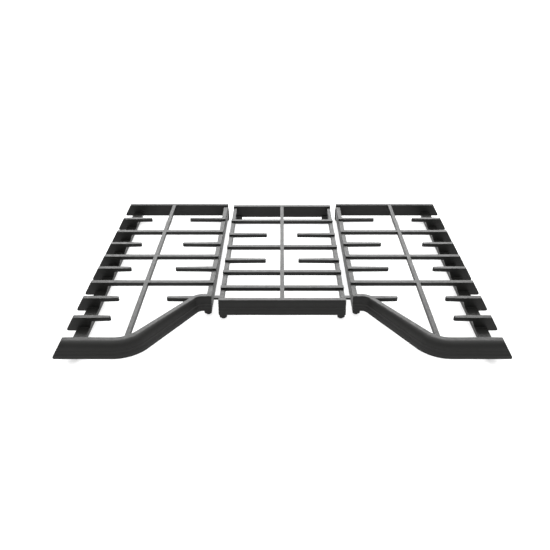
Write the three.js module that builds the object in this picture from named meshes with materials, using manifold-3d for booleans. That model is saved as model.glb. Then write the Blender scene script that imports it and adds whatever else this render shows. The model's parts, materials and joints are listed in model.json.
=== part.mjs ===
// Cooktop grate set: three loose cast iron grates that stand side by side over the burners.
// The centre grate is straight. The two side grates are mirror images, with a front rail
// that swings forward in an S and an outer side that ends in a row of sloping fins.
// Millimetres, +Z up, +Y towards the back of the cooktop. The origin is on the cooktop,
// under the middle of the whole set.

import * as THREE from 'three';
import { mergeVertices } from 'three/addons/utils/BufferGeometryUtils.js';
import Module from 'manifold-3d';

const wasm = await Module();
wasm.setup();

// Sizes that all three grates share
const HEIGHT = 37; // cooktop to the top of the bars
const DROP = 27.2; // top of the bars to the underside of the rails and fins
const BASE = HEIGHT - DROP;
const BAR_WIDTH = 8;
const BAR_DEPTH = 7.5;
const MIDDLE_BAR_WIDTH = 7.5;
const BAR_UNDERSIDE = HEIGHT - BAR_DEPTH;
const FINGER_TIP_RADIUS = 3;
const BITE = 4; // how far a bar runs into the rail that carries it
const FILLET = 3; // in the corners between bars and side rails
const REAR_RAIL_THICKNESS = 8.5;
const SIDE_RAIL_TOP = HEIGHT - 3.5;
const SETBACK = 7.3; // how far the centre grate stands in front of the side grates at the back
const GAP = 13.2; // between neighbouring grates

// Centre grate: y of each back edge, measured from its rear edge
const CENTRE_WIDTH = 220;
const CENTRE_LONG_BARS = [-70, -179.5, -271.5, -321.5];
const CENTRE_FINGERS = [-130, -229.5];
const CENTRE_FRONT = -360;
const CENTRE_FINGER_TIP = 31.2; // from the middle bar's axis
const CENTRE_RAIL_INSET = 0.4;
const CENTRE_RAIL_THICKNESS = 7.5;
const CENTRE_RAIL_BOTTOM = HEIGHT - 15;
const TAB_REACH = 9; // spacer tab beyond the ends of the bars
const TAB_WIDTH = 7;
const TAB_BACK = 5.5; // tab's middle behind the front rail's back edge
const TAB_HEIGHT = 4.2;
const TAB_TOP = HEIGHT - 1.5;

// Side grate: x is measured outwards from the middle bar's axis, y from the rear edge
const INNER_EDGE = -122.3;
const OUTER_EDGE = 100.4;
const SIDE_LONG_BARS = [-125.5, -223.5, -313];
const SIDE_FINGERS = [-68.5, -175.5, -266.5, -361];
const OUTER_ONLY_FINGER = -415.5;
const INNER_FRONT_FINGER_ROOT = -91.5; // inside the front rail, where it starts to swing forward
const INNER_FINGER_TIP = -44.8;
const OUTER_FINGER_TIP = 38;
const INNER_FRONT = -355.5;
const OUTER_FRONT = -472;
const INNER_BEND_X = -94.8;
const OUTER_BEND_X = 0.3;
const INNER_BEND_RADIUS = 25;
const OUTER_BEND_RADIUS = 42;
const BEND_STEPS = 9;
const INNER_RAIL_THICKNESS = 9;
const BAR_END_INSET = 0.5;

// Fins at the outer side, and the low rail that joins their feet
const FIN_SLOPE = 0.6; // outwards per millimetre down
const FIN_CORNER = 6;
const FIN_ROOT = 31; // inboard of the outer edge, under the bar
const LOW_RAIL_INNER = OUTER_EDGE - 26;
const LOW_RAIL_OUTER = OUTER_EDGE - 5;
const LOW_RAIL_TOP = HEIGHT - 20;
const LOW_RAIL_FRONT = OUTER_FRONT - 17;

// Front rail section: a flat top, a bulging face, then two stepped beads. Each step of the
// beads is given by how far it stands in front of the bulge, and its drop below the top.
const FRONT_TOP_WIDTH = 6.5;
const FRONT_BULGE_RUN = 3.5;
const FRONT_BULGE_DROP = 14.5;
const FRONT_BEAD_STEPS = [[2, 16], [2.3, 19.2], [4, 20.6], [4, DROP]];
const FRONT_SPREAD = 7.3; // extra forward run of the face at the outer end of a side grate
const FRONT_WALL_BACK = 8;
const FRONT_WALL_BACK_DROP = 9;
const CENTRE_FRONT_OVERHANG = 0.4; // of the centre grate's front rail past the ends of its bars

// Feet: a short leg of iron with a rubber bumper pressed into it
const LEG_BOTTOM = 3;
const LOBE_WIDTH = 13;
const LOBE_DEPTH = 11;
const LOBE_TOP = 16.5;
const LOBE_INSET = 0.8; // from the grate's side
const FRONT_FOOT_FORWARD = 7; // foot axis in front of the front rail's back edge
const REAR_FOOT_FORWARD = 14; // foot axis in front of a side grate's rear edge
const OUTER_FOOT_INSET = 18; // outer front foot's axis, from the outer edge
const REAR_LEG_WIDTH = 18;
const REAR_LEG_DEPTH = 12;
const ROUND_LEG_RADIUS = 6.5;
const ROUND_LEG_TOP = SIDE_RAIL_TOP - 2.5;
const STUB_RADIUS = 6;
const BUMPER_RADIUS = 4.5;
const BUMPER_FLAT_RADIUS = 3.2;
const BUMPER_EDGE = 1.2;
const CLEARANCE = 0.3;
const STEM_RADIUS = 2.2;
const STEM_LENGTH = 6;

const curveSegments = 5;
const roundSegments = 16;

const enamelledIron = new THREE.MeshStandardMaterial({ color: 0x2e2e2d, roughness: 0.6, metalness: 0.2 });
const bumperRubber = new THREE.MeshStandardMaterial({ color: 0x151515, roughness: 0.9, metalness: 0 });

// A closed geometry as a solid that can be joined or cut
function toSolid(geometry) {
  geometry.deleteAttribute('normal');
  geometry.deleteAttribute('uv');
  const merged = mergeVertices(geometry, 1e-4);
  return new wasm.Manifold(new wasm.Mesh({
    numProp: 3,
    vertProperties: new Float32Array(merged.attributes.position.array),
    triVerts: new Uint32Array(merged.index.array),
  }));
}

function toGeometry(solid) {
  const { vertProperties, triVerts } = solid.getMesh();
  const geometry = new THREE.BufferGeometry();
  geometry.setAttribute('position', new THREE.BufferAttribute(vertProperties, 3));
  geometry.setIndex(new THREE.BufferAttribute(triVerts, 1));
  return geometry;
}

function join(solids) {
  return solids.reduce((joined, solid) => joined.add(solid));
}

// The same body seen in a mirror: x changes sign, so each face is wound the other way
function mirrored(geometry) {
  const mirror = geometry.clone().scale(-1, 1, 1);
  const corners = mirror.index.array;
  for (let i = 0; i < corners.length; i += 3) {
    [corners[i], corners[i + 1]] = [corners[i + 1], corners[i]];
  }
  return mirror;
}

function block([x0, x1], [y0, y1], [z0, z1]) {
  const geometry = new THREE.BoxGeometry(x1 - x0, y1 - y0, z1 - z0);
  return toSolid(geometry.translate((x0 + x1) / 2, (y0 + y1) / 2, (z0 + z1) / 2));
}

function post(x, y, radius, [z0, z1]) {
  const geometry = new THREE.CylinderGeometry(radius, radius, z1 - z0, roundSegments);
  return toSolid(geometry.rotateX(Math.PI / 2).translate(x, y, (z0 + z1) / 2));
}

// An outline in x and z, as a plate from y0 to y1
function plate(outline, [y0, y1]) {
  const geometry = new THREE.ExtrudeGeometry(outline, { depth: y1 - y0, bevelEnabled: false, curveSegments });
  return toSolid(geometry.rotateX(Math.PI / 2).translate(0, y1, 0));
}

// A cross bar whose back edge is at y = back
function crossBar([x0, x1], back) {
  return block([x0, x1], [back - BAR_WIDTH, back], [BAR_UNDERSIDE, HEIGHT]);
}

// A bar that stops short over the burner, narrowing to a round tip
function finger(root, tip, back) {
  const way = Math.sign(tip - root);
  const middle = back - BAR_WIDTH / 2;
  const start = (-way * Math.PI) / 2;
  const outline = new THREE.Shape();
  outline.moveTo(root, middle - (way * BAR_WIDTH) / 2);
  outline.lineTo(tip - way * FINGER_TIP_RADIUS, middle - way * FINGER_TIP_RADIUS);
  outline.absarc(tip - way * FINGER_TIP_RADIUS, middle, FINGER_TIP_RADIUS, start, start + Math.PI, false);
  outline.lineTo(root, middle + (way * BAR_WIDTH) / 2);
  const geometry = new THREE.ExtrudeGeometry(outline, {
    depth: BAR_DEPTH, bevelEnabled: false, curveSegments,
  });
  return toSolid(geometry.translate(0, 0, BAR_UNDERSIDE));
}

// The two filleted corners where a bar leaves a side rail's face towards way (+1 or -1)
function fillets(face, way, back) {
  return [[back, 1], [back - BAR_WIDTH, -1]].map(([side, out]) => {
    const outline = new THREE.Shape();
    outline.moveTo(face - way, side - out);
    outline.lineTo(face + way * FILLET, side - out);
    outline.lineTo(face + way * FILLET, side);
    outline.quadraticCurveTo(face, side, face, side + out * FILLET);
    outline.lineTo(face - way, side + out * FILLET);
    const geometry = new THREE.ExtrudeGeometry(outline, {
      depth: SIDE_RAIL_TOP - BAR_UNDERSIDE, bevelEnabled: false, curveSegments,
    });
    return toSolid(geometry.translate(0, 0, BAR_UNDERSIDE));
  });
}

function middleBar(frontY) {
  const sides = [-MIDDLE_BAR_WIDTH / 2, MIDDLE_BAR_WIDTH / 2];
  return block(sides, [frontY, -BITE], [BAR_UNDERSIDE, HEIGHT]);
}

// The outline's sloping outer edge, rounded where it meets the underside
function slopeDown(outline) {
  const outerBottom = OUTER_EDGE + FIN_SLOPE * DROP;
  outline.lineTo(OUTER_EDGE, HEIGHT);
  outline.lineTo(outerBottom - FIN_SLOPE * FIN_CORNER, BASE + FIN_CORNER);
  outline.quadraticCurveTo(outerBottom, BASE, outerBottom - FIN_CORNER, BASE);
}

// The plate at the outer end of a bar. It carries the bar down to the low rail.
function fin(back, thickness) {
  const outline = new THREE.Shape();
  outline.moveTo(OUTER_EDGE - FIN_ROOT, HEIGHT);
  slopeDown(outline);
  outline.lineTo(LOW_RAIL_INNER, BASE);
  outline.lineTo(LOW_RAIL_INNER, LOW_RAIL_TOP);
  outline.lineTo(OUTER_EDGE - FIN_ROOT, BAR_UNDERSIDE);
  return plate(outline, [back - thickness, back]);
}

// Front rail section: x runs forwards from the top back edge, y is minus the drop
function frontRailSection() {
  const bulgeFront = FRONT_TOP_WIDTH + FRONT_BULGE_RUN;
  const outline = new THREE.Shape();
  outline.moveTo(0, 0);
  outline.lineTo(FRONT_TOP_WIDTH, 0);
  outline.absellipse(
    FRONT_TOP_WIDTH, -FRONT_BULGE_DROP, FRONT_BULGE_RUN, FRONT_BULGE_DROP, Math.PI / 2, 0, true,
  );
  FRONT_BEAD_STEPS.forEach(([forward, drop]) => outline.lineTo(bulgeFront + forward, -drop));
  outline.lineTo(FRONT_WALL_BACK, -DROP);
  outline.lineTo(0, -FRONT_WALL_BACK_DROP);
  return outline;
}

// How much of the spread a point of the section takes: none at the back and the top,
// and all of it from the foot of the bulge down.
function spreadShare(forward, drop) {
  const level = Math.min(drop / FRONT_BULGE_DROP, 1);
  return Math.sqrt(1 - (1 - level) ** 2) * Math.min(forward / FRONT_TOP_WIDTH, 1);
}

// Points along a rounded corner between two straight runs
function bend(before, corner, after, radius) {
  const into = corner.clone().sub(before).normalize();
  const out = after.clone().sub(corner).normalize();
  const turn = Math.sign(into.cross(out));
  const angle = Math.acos(into.dot(out));
  const start = corner.clone().addScaledVector(into, -radius * Math.tan(angle / 2));
  const centre = start.clone().add(new THREE.Vector2(-into.y, into.x).multiplyScalar(turn * radius));
  return Array.from({ length: BEND_STEPS + 1 }, (_, i) => (
    start.clone().rotateAround(centre, (turn * angle * i) / BEND_STEPS)
  ));
}

// A front rail whose top back edge follows the stations, from the outer end to the inner end.
// Each station is a point and the spread of the face there.
function frontRail(stations) {
  const steps = stations.length - 1;
  const geometry = new THREE.ExtrudeGeometry(frontRailSection(), {
    depth: steps, steps, bevelEnabled: false, curveSegments,
  });
  const position = geometry.attributes.position;
  for (let i = 0; i < position.count; i += 1) {
    const at = Math.round(position.getZ(i));
    const { point, spread } = stations[at];
    const last = stations[Math.max(at - 1, 0)].point;
    const next = stations[Math.min(at + 1, steps)].point;
    const into = (at === 0 ? next : point).clone().sub(at === 0 ? point : last).normalize();
    const out = (at === steps ? point : next).clone().sub(at === steps ? last : point).normalize();
    const along = into.clone().add(out).normalize();
    const drop = -position.getY(i);
    const run = position.getX(i) + spread * spreadShare(position.getX(i), drop);
    const forward = run / along.dot(into);
    position.setXYZ(i, point.x - along.y * forward, point.y + along.x * forward, HEIGHT - drop);
  }
  return toSolid(geometry);
}

function sideFrontRail() {
  const outerEnd = new THREE.Vector2(OUTER_EDGE + FIN_SLOPE * DROP, OUTER_FRONT);
  const outerBend = new THREE.Vector2(OUTER_BEND_X, OUTER_FRONT);
  const innerBend = new THREE.Vector2(INNER_BEND_X, INNER_FRONT);
  const innerEnd = new THREE.Vector2(INNER_EDGE, INNER_FRONT);
  const wide = [outerEnd, ...bend(outerEnd, outerBend, innerBend, OUTER_BEND_RADIUS)];
  const narrow = [...bend(outerBend, innerBend, innerEnd, INNER_BEND_RADIUS), innerEnd];
  const rail = frontRail([
    ...wide.map((point) => ({ point, spread: FRONT_SPREAD })),
    ...narrow.map((point) => ({ point, spread: 0 })),
  ]);
  const trim = new THREE.Shape();
  trim.moveTo(INNER_EDGE, HEIGHT);
  slopeDown(trim);
  trim.lineTo(INNER_EDGE, BASE);
  return rail.intersect(plate(trim, [OUTER_FRONT * 1.1, INNER_FRONT * 0.9]));
}

function centreFrontRail() {
  const halfWidth = CENTRE_WIDTH / 2 + CENTRE_FRONT_OVERHANG;
  return frontRail([halfWidth, -halfWidth].map((x) => (
    { point: new THREE.Vector2(x, CENTRE_FRONT), spread: 0 }
  )));
}

// A front leg, half round when seen from the front
function lobe(x, y) {
  const outline = new THREE.Shape();
  const radius = LOBE_WIDTH / 2;
  const cornerRadius = radius - BUMPER_FLAT_RADIUS;
  outline.moveTo(x - radius, LOBE_TOP);
  outline.lineTo(x - radius, LEG_BOTTOM + cornerRadius);
  outline.quadraticCurveTo(x - radius, LEG_BOTTOM, x - BUMPER_FLAT_RADIUS, LEG_BOTTOM);
  outline.lineTo(x + BUMPER_FLAT_RADIUS, LEG_BOTTOM);
  outline.quadraticCurveTo(x + radius, LEG_BOTTOM, x + radius, LEG_BOTTOM + cornerRadius);
  outline.lineTo(x + radius, LOBE_TOP);
  return plate(outline, [y - LOBE_DEPTH / 2, y + LOBE_DEPTH / 2]);
}

// Blind holes for the bumpers' stems
function drill(casting, feet) {
  return feet.reduce((drilled, [x, y]) => drilled.subtract(
    post(x, y, STEM_RADIUS + CLEARANCE, [LEG_BOTTOM - 1, LEG_BOTTOM + STEM_LENGTH + 1]),
  ), casting);
}

const centreFeet = [-1, 1].flatMap((side) => [
  [side * (CENTRE_WIDTH / 2 - CENTRE_RAIL_INSET - REAR_LEG_WIDTH / 2), -REAR_LEG_DEPTH / 2],
  [side * (CENTRE_WIDTH / 2 - LOBE_WIDTH / 2 - LOBE_INSET), CENTRE_FRONT - FRONT_FOOT_FORWARD],
]);

function centreSideParts(side) {
  const railOuter = side * (CENTRE_WIDTH / 2 - CENTRE_RAIL_INSET);
  const railInner = railOuter - side * CENTRE_RAIL_THICKNESS;
  const barEnd = (side * CENTRE_WIDTH) / 2;
  const legInner = railOuter - side * REAR_LEG_WIDTH;
  const tabMiddle = CENTRE_FRONT + TAB_BACK;
  const span = (a, b) => [Math.min(a, b), Math.max(a, b)];
  return [
    block(span(railOuter, railInner), [CENTRE_FRONT - BITE, -1], [CENTRE_RAIL_BOTTOM, SIDE_RAIL_TOP]),
    block(span(railOuter, legInner), [-REAR_LEG_DEPTH, -CLEARANCE], [LEG_BOTTOM, BASE + BITE]),
    block(
      span(railInner, barEnd + side * TAB_REACH),
      [tabMiddle - TAB_WIDTH / 2, tabMiddle + TAB_WIDTH / 2],
      [TAB_TOP - TAB_HEIGHT, TAB_TOP],
    ),
    ...CENTRE_FINGERS.map((back) => finger(barEnd, side * CENTRE_FINGER_TIP, back)),
    ...[...CENTRE_LONG_BARS, ...CENTRE_FINGERS].flatMap((back) => fillets(railInner, -side, back)),
  ];
}

function centreCasting() {
  const ends = [-CENTRE_WIDTH / 2, CENTRE_WIDTH / 2];
  const frontFeet = centreFeet.filter(([, y]) => y < CENTRE_FRONT);
  return drill(join([
    block(ends, [-REAR_RAIL_THICKNESS, 0], [BASE, HEIGHT]),
    centreFrontRail(),
    middleBar(CENTRE_FRONT - BITE),
    ...CENTRE_LONG_BARS.map((back) => crossBar(ends, back)),
    ...centreSideParts(-1),
    ...centreSideParts(1),
    ...frontFeet.map(([x, y]) => lobe(x, y)),
  ]), centreFeet);
}

const innerRearFoot = [INNER_EDGE + INNER_RAIL_THICKNESS / 2, -REAR_FOOT_FORWARD];
const innerFrontFoot = [INNER_EDGE + LOBE_WIDTH / 2 + LOBE_INSET, INNER_FRONT - FRONT_FOOT_FORWARD];
const outerRearFoot = [(LOW_RAIL_INNER + LOW_RAIL_OUTER) / 2, -REAR_FOOT_FORWARD];
const outerFrontFoot = [OUTER_EDGE - OUTER_FOOT_INSET, OUTER_FRONT - FRONT_FOOT_FORWARD];
const sideFeet = [innerRearFoot, innerFrontFoot, outerRearFoot, outerFrontFoot];

function sideLegs() {
  return [
    post(...innerRearFoot, ROUND_LEG_RADIUS, [LEG_BOTTOM, ROUND_LEG_TOP]),
    lobe(...innerFrontFoot),
    post(...outerRearFoot, STUB_RADIUS, [LEG_BOTTOM, BASE + BITE]),
    post(...outerFrontFoot, STUB_RADIUS, [LEG_BOTTOM, LOW_RAIL_TOP + BITE]),
  ];
}

function sideCasting() {
  const barInner = INNER_EDGE + BAR_END_INSET;
  const finBar = OUTER_EDGE - FIN_ROOT + BITE;
  const outerFingers = [...SIDE_FINGERS, OUTER_ONLY_FINGER];
  const railFace = INNER_EDGE + INNER_RAIL_THICKNESS;
  const railFingers = SIDE_FINGERS.filter((back) => back > INNER_FRONT);
  return drill(join([
    block([INNER_EDGE, LOW_RAIL_INNER + BITE], [-REAR_RAIL_THICKNESS, 0], [BASE, HEIGHT]),
    fin(0, REAR_RAIL_THICKNESS),
    block([INNER_EDGE, railFace], [INNER_FRONT - BITE, -1], [BASE, SIDE_RAIL_TOP]),
    block([LOW_RAIL_INNER, LOW_RAIL_OUTER], [LOW_RAIL_FRONT, -1], [BASE, LOW_RAIL_TOP]),
    sideFrontRail(),
    middleBar(OUTER_FRONT),
    ...SIDE_LONG_BARS.flatMap((back) => [crossBar([barInner, finBar], back), fin(back, BAR_WIDTH)]),
    ...railFingers.map((back) => finger(barInner, INNER_FINGER_TIP, back)),
    finger(INNER_FRONT_FINGER_ROOT, INNER_FINGER_TIP, SIDE_FINGERS.at(-1)),
    ...outerFingers.flatMap((back) => [finger(finBar, OUTER_FINGER_TIP, back), fin(back, BAR_WIDTH)]),
    ...[...SIDE_LONG_BARS, ...railFingers].flatMap((back) => fillets(railFace, 1, back)),
    ...sideLegs(),
  ]), sideFeet);
}

// A rubber bumper: a low round head with a stem that is pressed up into the leg
function bumperGeometry() {
  const headTop = LEG_BOTTOM - CLEARANCE;
  const profile = [
    [0, 0],
    [BUMPER_FLAT_RADIUS, 0],
    [BUMPER_RADIUS, BUMPER_EDGE],
    [BUMPER_RADIUS, headTop],
    [STEM_RADIUS, headTop],
    [STEM_RADIUS, headTop + STEM_LENGTH],
    [0, headTop + STEM_LENGTH],
  ].map(([x, y]) => new THREE.Vector2(x, y));
  return toGeometry(toSolid(new THREE.LatheGeometry(profile, roundSegments).rotateX(Math.PI / 2)));
}

// One grate: the casting and its four bumpers, in a group that stands at (x, y)
function grate(name, casting, feet, [x, y]) {
  const group = new THREE.Group();
  group.position.set(x, y, 0);
  const body = new THREE.Mesh(casting, enamelledIron);
  body.name = `${name}_grate`;
  group.add(body);
  feet.forEach(({ place, at }) => {
    const bumper = new THREE.Mesh(bumperGeometry(), bumperRubber);
    bumper.name = `${name}_bumper_${place}`;
    bumper.position.set(at[0], at[1], 0);
    group.add(bumper);
  });
  return group;
}

// Bumper names say where each one stands when the set is seen from the front
function sideFeetNamed(side) {
  return ['inner_rear', 'inner_front', 'outer_rear', 'outer_front'].map((place, i) => (
    { place, at: [side * sideFeet[i][0], sideFeet[i][1]] }
  ));
}

function centreFeetNamed() {
  return ['left_rear', 'left_front', 'right_rear', 'right_front'].map((place, i) => (
    { place, at: centreFeet[i] }
  ));
}

const frontRun = FRONT_TOP_WIDTH + FRONT_BULGE_RUN + FRONT_BEAD_STEPS.at(-1)[0] + FRONT_SPREAD;
const sideRearY = (frontRun - OUTER_FRONT) / 2;
const sideX = CENTRE_WIDTH / 2 + GAP - INNER_EDGE;
const rightCasting = toGeometry(sideCasting());

const grateSet = new THREE.Group();
grateSet.add(
  grate('centre', toGeometry(centreCasting()), centreFeetNamed(), [0, sideRearY - SETBACK]),
  grate('right', rightCasting, sideFeetNamed(1), [sideX, sideRearY]),
  grate('left', mirrored(rightCasting), sideFeetNamed(-1), [-sideX, sideRearY]),
);

export default grateSet;
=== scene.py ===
import json
import math

import bmesh
import bpy
from bpy.props import (
    FloatProperty,
    FloatVectorProperty,
    IntProperty,
    PointerProperty,
)
from mathutils import Matrix, Vector

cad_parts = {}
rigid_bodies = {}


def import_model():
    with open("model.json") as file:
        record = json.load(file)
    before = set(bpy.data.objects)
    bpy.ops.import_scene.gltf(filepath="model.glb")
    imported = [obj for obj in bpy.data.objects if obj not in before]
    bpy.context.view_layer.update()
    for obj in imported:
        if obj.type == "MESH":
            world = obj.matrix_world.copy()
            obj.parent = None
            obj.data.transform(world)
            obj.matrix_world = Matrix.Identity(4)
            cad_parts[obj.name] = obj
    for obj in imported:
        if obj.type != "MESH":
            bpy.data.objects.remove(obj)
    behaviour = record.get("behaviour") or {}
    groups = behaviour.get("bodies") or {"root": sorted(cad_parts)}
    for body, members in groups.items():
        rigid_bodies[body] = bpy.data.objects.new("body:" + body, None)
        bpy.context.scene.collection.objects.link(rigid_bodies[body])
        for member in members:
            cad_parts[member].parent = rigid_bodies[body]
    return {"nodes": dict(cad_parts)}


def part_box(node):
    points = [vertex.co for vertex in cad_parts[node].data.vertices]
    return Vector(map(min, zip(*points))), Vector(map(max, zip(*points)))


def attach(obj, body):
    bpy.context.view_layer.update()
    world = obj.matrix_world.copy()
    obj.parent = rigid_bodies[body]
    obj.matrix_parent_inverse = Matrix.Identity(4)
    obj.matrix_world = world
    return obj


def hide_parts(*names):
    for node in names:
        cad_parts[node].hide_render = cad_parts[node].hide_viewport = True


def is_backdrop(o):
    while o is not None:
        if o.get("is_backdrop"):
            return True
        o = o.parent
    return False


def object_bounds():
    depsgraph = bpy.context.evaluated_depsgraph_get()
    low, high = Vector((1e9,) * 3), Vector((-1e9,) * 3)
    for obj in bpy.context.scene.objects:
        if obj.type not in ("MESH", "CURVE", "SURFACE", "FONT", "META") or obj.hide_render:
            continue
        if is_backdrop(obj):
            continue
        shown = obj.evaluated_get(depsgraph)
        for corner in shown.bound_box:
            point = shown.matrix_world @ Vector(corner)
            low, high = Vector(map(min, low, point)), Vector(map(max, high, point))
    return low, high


# Cooktop grate set: three iron castings in matt black enamel, the rubber bumpers that they
# stand on, and a white studio. Everything is in metres and in the frame's own axes.

bl_info = {
    "name": "Cooktop Grate Set",
    "version": (1, 0, 0),
    "blender": (4, 5, 0),
    "location": "3D View > Sidebar > Grates",
    "description": "Finishes a three-piece cast iron grate set and sets up a studio around it",
    "category": "Object",
}

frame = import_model()

MM = 0.001

# Sizes across of the patterns in the two finishes. The grain and the speckle are drawn a few
# times coarser than the real ones, which would be too fine to show.
GRAIN = 0.7 * MM
ORANGE_PEEL = 3.2 * MM
SHEEN_PATCHES = 9 * MM
FIRING_CLOUDS = 38 * MM
RUBBER_SPECKLE = 0.5 * MM

# Heights of the same patterns
GRAIN_HEIGHT = 0.03 * MM
ORANGE_PEEL_HEIGHT = 0.08 * MM
RUBBER_SPECKLE_HEIGHT = 0.02 * MM

ROUGHNESS_SPREAD = 0.05  # either side of the enamel's middle roughness
ENAMEL_SPECULAR = 0.2  # under the usual 0.5, because the matt tooth swallows part of the shine
MERGE_DISTANCE = 0.001 * MM  # between corners that are the same corner of a casting
FLATNESS = math.radians(1)  # triangles that turn by less than this are one face of a casting

# The studio: a light table that reaches far past the view, a very wide overhead light that
# leans a little from behind, and a softbox above and behind the grates
TABLE_HALF_WIDTH = 12
OVERHEAD_SPREAD = math.radians(110)
OVERHEAD_TILT = math.radians(18)
SOFTBOX_PLACE = (0, 1.5, 1.3)
SOFTBOX_SIZE = (2.4, 1.2)
WHITE = (1, 1, 1, 1)


def linear(code):
    """An sRGB hex colour as linear red, green and blue."""
    channels = [int(code[i:i + 2], 16) / 255 for i in (1, 3, 5)]
    return [c / 12.92 if c <= 0.04045 else ((c + 0.055) / 1.055) ** 2.4 for c in channels]


class CastingSettings(bpy.types.PropertyGroup):
    radius: FloatProperty(
        name="Edge Radius", description="Rounding that the casting and the enamel leave on edges",
        default=0.4 * MM, min=0, precision=5, unit="LENGTH",
    )
    steps: IntProperty(
        name="Steps", description="Steps across a rounded edge",
        default=2, min=1, max=4,
    )
    sharpness: FloatProperty(
        name="Sharpness", description="Edges that turn by more than this are rounded",
        default=math.radians(42), min=0, subtype="ANGLE",
    )


class EnamelSettings(bpy.types.PropertyGroup):
    dark: FloatVectorProperty(
        name="Dark", description="Colour of the enamel where it is thick",
        default=linear("#111110"), size=3, subtype="COLOR", min=0, max=1,
    )
    light: FloatVectorProperty(
        name="Light", description="Colour of the enamel where it is thin",
        default=linear("#171716"), size=3, subtype="COLOR", min=0, max=1,
    )
    roughness: FloatProperty(
        name="Roughness", description="Middle roughness of the matt enamel",
        default=0.46, min=0, max=1, subtype="FACTOR",
    )


class BumperSettings(bpy.types.PropertyGroup):
    colour: FloatVectorProperty(
        name="Colour", description="Colour of the silicone rubber",
        default=linear("#141414"), size=3, subtype="COLOR", min=0, max=1,
    )
    steps: IntProperty(
        name="Steps", description="Steps of the turned shape around its axis",
        default=32, min=12, max=64,
    )


class StudioSettings(bpy.types.PropertyGroup):
    floor_colour: FloatVectorProperty(
        name="Floor", description="Colour of the floor",
        default=linear("#a8a8a8"), size=3, subtype="COLOR", min=0, max=1,
    )
    floor_glow: FloatProperty(
        name="Floor Glow", description="Light that shines through the floor, as in a light table",
        default=0.6, min=0,
    )
    overall: FloatProperty(
        name="Overall Light", description="Strength of the even light from all around",
        default=1.0, min=0,
    )
    overhead: FloatProperty(
        name="Overhead Light", description="Strength of the wide soft light from above",
        default=3.0, min=0,
    )
    softbox: FloatProperty(
        name="Softbox", description="Power of the softbox above and behind the grates",
        default=100, min=0, unit="POWER",
    )
    lens: FloatProperty(
        name="Lens", description="Focal length of the camera",
        default=35.35, min=10, unit="CAMERA",
    )
    pitch: FloatProperty(
        name="Pitch", description="How far the camera looks down",
        default=math.radians(33.72), subtype="ANGLE",
    )
    camera_height: FloatProperty(
        name="Camera Height", description="Height of the camera above the tops of the bars",
        default=552.2 * MM, unit="LENGTH",
    )
    camera_back: FloatProperty(
        name="Camera Distance", description="How far the camera stands in front of the middle",
        default=876.9 * MM, unit="LENGTH",
    )
    camera_left: FloatProperty(
        name="Camera Offset", description="How far the camera stands to the left of the middle",
        default=1.8 * MM, unit="LENGTH",
    )
    shift: FloatProperty(
        name="Shift", description="Sideways shift of the picture",
        default=-0.0112,
    )


class GrateSetSettings(bpy.types.PropertyGroup):
    casting: PointerProperty(type=CastingSettings)
    enamel: PointerProperty(type=EnamelSettings)
    bumper: PointerProperty(type=BumperSettings)
    studio: PointerProperty(type=StudioSettings)


def add_node(tree, kind, inputs=None, **settings):
    """Adds a node. An input is a value, or an output socket that is linked to it."""
    node = tree.nodes.new(kind)
    for name, value in settings.items():
        setattr(node, name, value)
    for name, value in (inputs or {}).items():
        if isinstance(value, bpy.types.NodeSocket):
            tree.links.new(value, node.inputs[name])
        else:
            node.inputs[name].default_value = value
    return node


def empty_material(name):
    """A material with only its output node."""
    material = bpy.data.materials.new(name)
    material.use_nodes = True
    material.node_tree.nodes.clear()
    return material


def matt_black_enamel(settings):
    """Vitreous enamel, sprayed and fired on sand-cast iron. It is glass, so it reflects as a
    dielectric does, and its matt tooth spreads that into a soft grey sheen on surfaces that
    face the light. Slow changes of shade come from the firing, and waves from the cast skin."""
    material = empty_material("matt_black_enamel")
    tree = material.node_tree
    place = add_node(tree, "ShaderNodeTexCoord").outputs["Object"]
    clouds, patches, peel, grain = [
        add_node(tree, "ShaderNodeTexNoise", {"Vector": place, "Scale": 1 / size, "Detail": detail})
        for size, detail in (
            (FIRING_CLOUDS, 3.0), (SHEEN_PATCHES, 4.0), (ORANGE_PEEL, 2.0), (GRAIN, 2.0),
        )
    ]
    shade = add_node(tree, "ShaderNodeMix", {
        "Factor": clouds.outputs["Fac"],
        "A": (*settings.dark, 1),
        "B": (*settings.light, 1),
    }, data_type="RGBA")
    rough = add_node(tree, "ShaderNodeMapRange", {
        "Value": patches.outputs["Fac"],
        "From Min": 0.3,
        "From Max": 0.7,
        "To Min": settings.roughness - ROUGHNESS_SPREAD,
        "To Max": settings.roughness + ROUGHNESS_SPREAD,
    })
    waves = add_node(tree, "ShaderNodeBump", {
        "Height": peel.outputs["Fac"],
        "Strength": 0.5,
        "Distance": ORANGE_PEEL_HEIGHT,
    })
    tooth = add_node(tree, "ShaderNodeBump", {
        "Height": grain.outputs["Fac"],
        "Strength": 0.6,
        "Distance": GRAIN_HEIGHT,
        "Normal": waves.outputs["Normal"],
    })
    shader = add_node(tree, "ShaderNodeBsdfPrincipled", {
        "Base Color": shade.outputs[2],
        "Roughness": rough.outputs["Result"],
        "IOR": 1.5,
        "Specular IOR Level": ENAMEL_SPECULAR,
        "Normal": tooth.outputs["Normal"],
    })
    add_node(tree, "ShaderNodeOutputMaterial", {"Surface": shader.outputs["BSDF"]})
    return material


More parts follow.
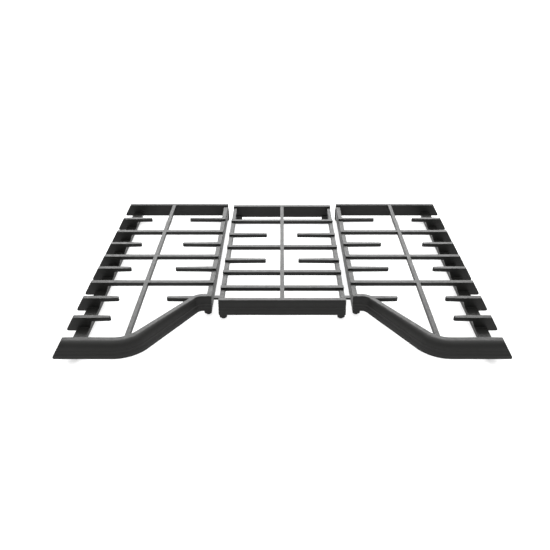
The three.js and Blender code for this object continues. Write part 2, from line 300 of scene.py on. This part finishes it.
def moulded_silicone(settings):
    """Moulded silicone rubber, spark-eroded mould: dull all over, with a very fine speckle."""
    material = empty_material("moulded_silicone")
    tree = material.node_tree
    place = add_node(tree, "ShaderNodeTexCoord").outputs["Object"]
    speckle = add_node(tree, "ShaderNodeTexNoise", {
        "Vector": place,
        "Scale": 1 / RUBBER_SPECKLE,
        "Detail": 2.0,
    })
    dull = add_node(tree, "ShaderNodeMapRange", {
        "Value": speckle.outputs["Fac"],
        "To Min": 0.72,
        "To Max": 0.88,
    })
    bump = add_node(tree, "ShaderNodeBump", {
        "Height": speckle.outputs["Fac"],
        "Strength": 0.5,
        "Distance": RUBBER_SPECKLE_HEIGHT,
    })
    shader = add_node(tree, "ShaderNodeBsdfPrincipled", {
        "Base Color": (*settings.colour, 1),
        "Roughness": dull.outputs["Result"],
        "IOR": 1.41,
        "Normal": bump.outputs["Normal"],
    })
    add_node(tree, "ShaderNodeOutputMaterial", {"Surface": shader.outputs["BSDF"]})
    return material


def light_table(settings):
    """Matt acrylic sheet, lit from below, so that it looks white and shadows on it stay pale."""
    material = empty_material("light_table")
    tree = material.node_tree
    acrylic = add_node(tree, "ShaderNodeBsdfPrincipled", {
        "Base Color": (*settings.floor_colour, 1),
        "Roughness": 1.0,
        "Specular IOR Level": 0.0,
        "Emission Color": WHITE,
        "Emission Strength": settings.floor_glow,
    })
    add_node(tree, "ShaderNodeOutputMaterial", {"Surface": acrylic.outputs["BSDF"]})
    return material


def finish_once(make, settings):
    """The finish that a function makes, made the first time that it is asked for."""
    return bpy.data.materials.get(make.__name__) or make(settings)


def link_piece(name, mesh, material):
    """An object in the scene that shows a mesh in one material."""
    piece = bpy.data.objects.new(name, mesh)
    bpy.context.scene.collection.objects.link(piece)
    mesh.materials.clear()
    mesh.materials.append(material)
    return piece


def place_piece(piece, node):
    """Hands a finished piece to the frame: it stands for the node and moves with its body."""
    body = frame["nodes"][node].parent.name.removeprefix("body:")
    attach(piece, body)
    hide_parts(node)


def soft_casting(node, settings):
    """A casting with the slightly rounded edges that sand casting and enamel leave. The loose
    triangles of the node's solid are joined into whole flat faces and cut again into well
    shaped ones, so that slivers don't spoil the rounding."""
    mesh = frame["nodes"][node].data.copy()
    mesh.name = f"{node}_casting"
    solid = bmesh.new()
    solid.from_mesh(mesh)
    bmesh.ops.remove_doubles(solid, verts=solid.verts, dist=MERGE_DISTANCE)
    bmesh.ops.dissolve_limit(
        solid, angle_limit=FLATNESS, verts=solid.verts, edges=solid.edges, delimit={"NORMAL"},
    )
    bmesh.ops.triangulate(solid, faces=solid.faces, ngon_method="BEAUTY")
    for face in solid.faces:
        face.smooth = True
    solid.to_mesh(mesh)
    solid.free()
    enamel = finish_once(matt_black_enamel, bpy.context.scene.grate_set.enamel)
    piece = link_piece(f"{node}_casting", mesh, enamel)
    rounding = piece.modifiers.new("Rounded edges", "BEVEL")
    rounding.width = settings.radius
    rounding.segments = settings.steps
    rounding.limit_method = "ANGLE"
    rounding.angle_limit = settings.sharpness
    rounding.use_clamp_overlap = False
    rounding.miter_outer = "MITER_ARC"
    piece.modifiers.new("Flat faces shade flat", "WEIGHTED_NORMAL")
    place_piece(piece, node)


MOULD_RADIUS = 0.15 * MM  # on the bumper's edges
MOULD_SHARPNESS = math.radians(30)
POLE_MERGE_DISTANCE = 0.01 * MM  # closes the turned shape on its axis

# A bumper's profile as (radius, height), in millimetres, from the top of the stem down
BUMPER_PROFILE = [
    (0, 8.7), (1.4, 8.7), (2.1, 7.9), (2.2, 6.6), (1.9, 5.9), (1.9, 2.9),
    (2.2, 2.7), (4.2, 2.7), (4.5, 2.4), (4.5, 1.2), (4.2, 0.45), (3.2, 0),
    (1.6, 0), (1.2, 0.35), (0, 0.4),
]


def turned_bumper(node, settings):
    """One rubber bumper: a low round head that carries the grate, and a barbed stem. It is
    turned about its own axis, and then moved to its place under the leg."""
    mesh = bpy.data.meshes.new(f"{node}_rubber")
    points = [(radius * MM, 0, height * MM) for radius, height in BUMPER_PROFILE]
    mesh.from_pydata(points, [(i, i + 1) for i in range(len(points) - 1)], [])
    rubber = finish_once(moulded_silicone, settings)
    piece = link_piece(f"{node}_rubber", mesh, rubber)
    turn = piece.modifiers.new("Turned", "SCREW")
    turn.axis = "Z"
    turn.steps = settings.steps
    turn.render_steps = settings.steps
    turn.use_merge_vertices = True
    turn.merge_threshold = POLE_MERGE_DISTANCE
    turn.use_smooth_shade = True
    bevel = piece.modifiers.new("Mould radius", "BEVEL")
    bevel.width = MOULD_RADIUS
    bevel.segments = 2
    bevel.limit_method = "ANGLE"
    bevel.angle_limit = MOULD_SHARPNESS
    bpy.context.view_layer.update()
    finished = piece.evaluated_get(bpy.context.evaluated_depsgraph_get())
    shaped = bpy.data.meshes.new_from_object(finished)
    piece.modifiers.clear()
    piece.data = shaped
    low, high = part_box(node)
    shaped.transform(Matrix.Translation(((low.x + high.x) / 2, (low.y + high.y) / 2, low.z)))
    place_piece(piece, node)


class GRATESET_OT_castings(bpy.types.Operator):
    """Finish the three iron castings"""
    bl_idname = "grateset.castings"
    bl_label = "Grate Castings"

    def execute(self, context):
        for node in frame["nodes"]:
            if node.endswith("_grate"):
                soft_casting(node, context.scene.grate_set.casting)
        return {"FINISHED"}


class GRATESET_OT_bumpers(bpy.types.Operator):
    """Turn the rubber bumpers that the grates stand on"""
    bl_idname = "grateset.bumpers"
    bl_label = "Rubber Bumpers"

    def execute(self, context):
        for node in frame["nodes"]:
            if "_bumper_" in node:
                turned_bumper(node, context.scene.grate_set.bumper)
        return {"FINISHED"}


def area_light(name, place, target, size, power):
    """A rectangular softbox at a place, turned towards a target."""
    lamp = bpy.data.lights.new(name, "AREA")
    lamp.shape = "RECTANGLE"
    lamp.size, lamp.size_y = size
    lamp.energy = power
    light = bpy.data.objects.new(name, lamp)
    light.location = place
    light.rotation_euler = (Vector(target) - Vector(place)).to_track_quat("-Z", "Y").to_euler()
    bpy.context.scene.collection.objects.link(light)


def lay_floor(settings, height):
    """The light table's sheet, at the height of the bumpers' undersides."""
    ways = [(-1, -1), (1, -1), (1, 1), (-1, 1)]
    corners = [(x * TABLE_HALF_WIDTH, y * TABLE_HALF_WIDTH, height) for x, y in ways]
    mesh = bpy.data.meshes.new("floor")
    mesh.from_pydata(corners, [], [(0, 1, 2, 3)])
    link_piece("floor", mesh, light_table(settings))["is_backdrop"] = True


def hang_lights(settings, middle):
    """Even light from all around, a wide soft light overhead, and a softbox at the back."""
    world = bpy.data.worlds.new("studio")
    world.use_nodes = True
    background = world.node_tree.nodes["Background"]
    background.inputs["Color"].default_value = WHITE
    background.inputs["Strength"].default_value = settings.overall
    bpy.context.scene.world = world
    lamp = bpy.data.lights.new("overhead", "SUN")
    lamp.energy = settings.overhead
    lamp.angle = OVERHEAD_SPREAD
    overhead = bpy.data.objects.new("overhead", lamp)
    overhead.rotation_euler = (-OVERHEAD_TILT, 0, 0)
    bpy.context.scene.collection.objects.link(overhead)
    area_light("softbox_back", SOFTBOX_PLACE, middle, SOFTBOX_SIZE, settings.softbox)


def place_camera(settings, middle, top):
    """A camera in front of the grates that looks down on them, over the tops of the bars."""
    data = bpy.data.cameras.new("camera")
    data.lens = settings.lens
    data.shift_x = settings.shift
    camera = bpy.data.objects.new("camera", data)
    camera.location = (
        middle.x - settings.camera_left,
        middle.y - settings.camera_back,
        top + settings.camera_height,
    )
    camera.rotation_euler = (math.pi / 2 - settings.pitch, 0, 0)
    bpy.context.scene.collection.objects.link(camera)
    bpy.context.scene.camera = camera


class GRATESET_OT_studio(bpy.types.Operator):
    """Lay the floor, hang the lights and place the camera"""
    bl_idname = "grateset.studio"
    bl_label = "Studio"

    def execute(self, context):
        settings = context.scene.grate_set.studio
        low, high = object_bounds()
        middle = (Vector(low) + Vector(high)) / 2
        lay_floor(settings, low[2])
        hang_lights(settings, middle)
        place_camera(settings, middle, high[2])
        context.scene.view_settings.view_transform = "Standard"
        return {"FINISHED"}


class GRATESET_PT_panel(bpy.types.Panel):
    bl_idname = "GRATESET_PT_panel"
    bl_label = "Cooktop Grate Set"
    bl_space_type = "VIEW_3D"
    bl_region_type = "UI"
    bl_category = "Grates"

    def draw(self, context):
        grate_set = context.scene.grate_set
        for operator, groups in (
            (GRATESET_OT_castings, (grate_set.casting, grate_set.enamel)),
            (GRATESET_OT_bumpers, (grate_set.bumper,)),
            (GRATESET_OT_studio, (grate_set.studio,)),
        ):
            box = self.layout.box()
            for group in groups:
                for name in group.__annotations__:
                    box.prop(group, name)
            box.operator(operator.bl_idname)


CLASSES = (
    CastingSettings,
    EnamelSettings,
    BumperSettings,
    StudioSettings,
    GrateSetSettings,
    GRATESET_OT_castings,
    GRATESET_OT_bumpers,
    GRATESET_OT_studio,
    GRATESET_PT_panel,
)


def register():
    for cls in CLASSES:
        bpy.utils.register_class(cls)
    bpy.types.Scene.grate_set = PointerProperty(type=GrateSetSettings)


def unregister():
    del bpy.types.Scene.grate_set
    for cls in reversed(CLASSES):
        bpy.utils.unregister_class(cls)


def main():
    register()
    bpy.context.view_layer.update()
    bpy.ops.grateset.castings()
    bpy.ops.grateset.bumpers()
    bpy.ops.grateset.studio()


if __name__ == "__main__":
    main()
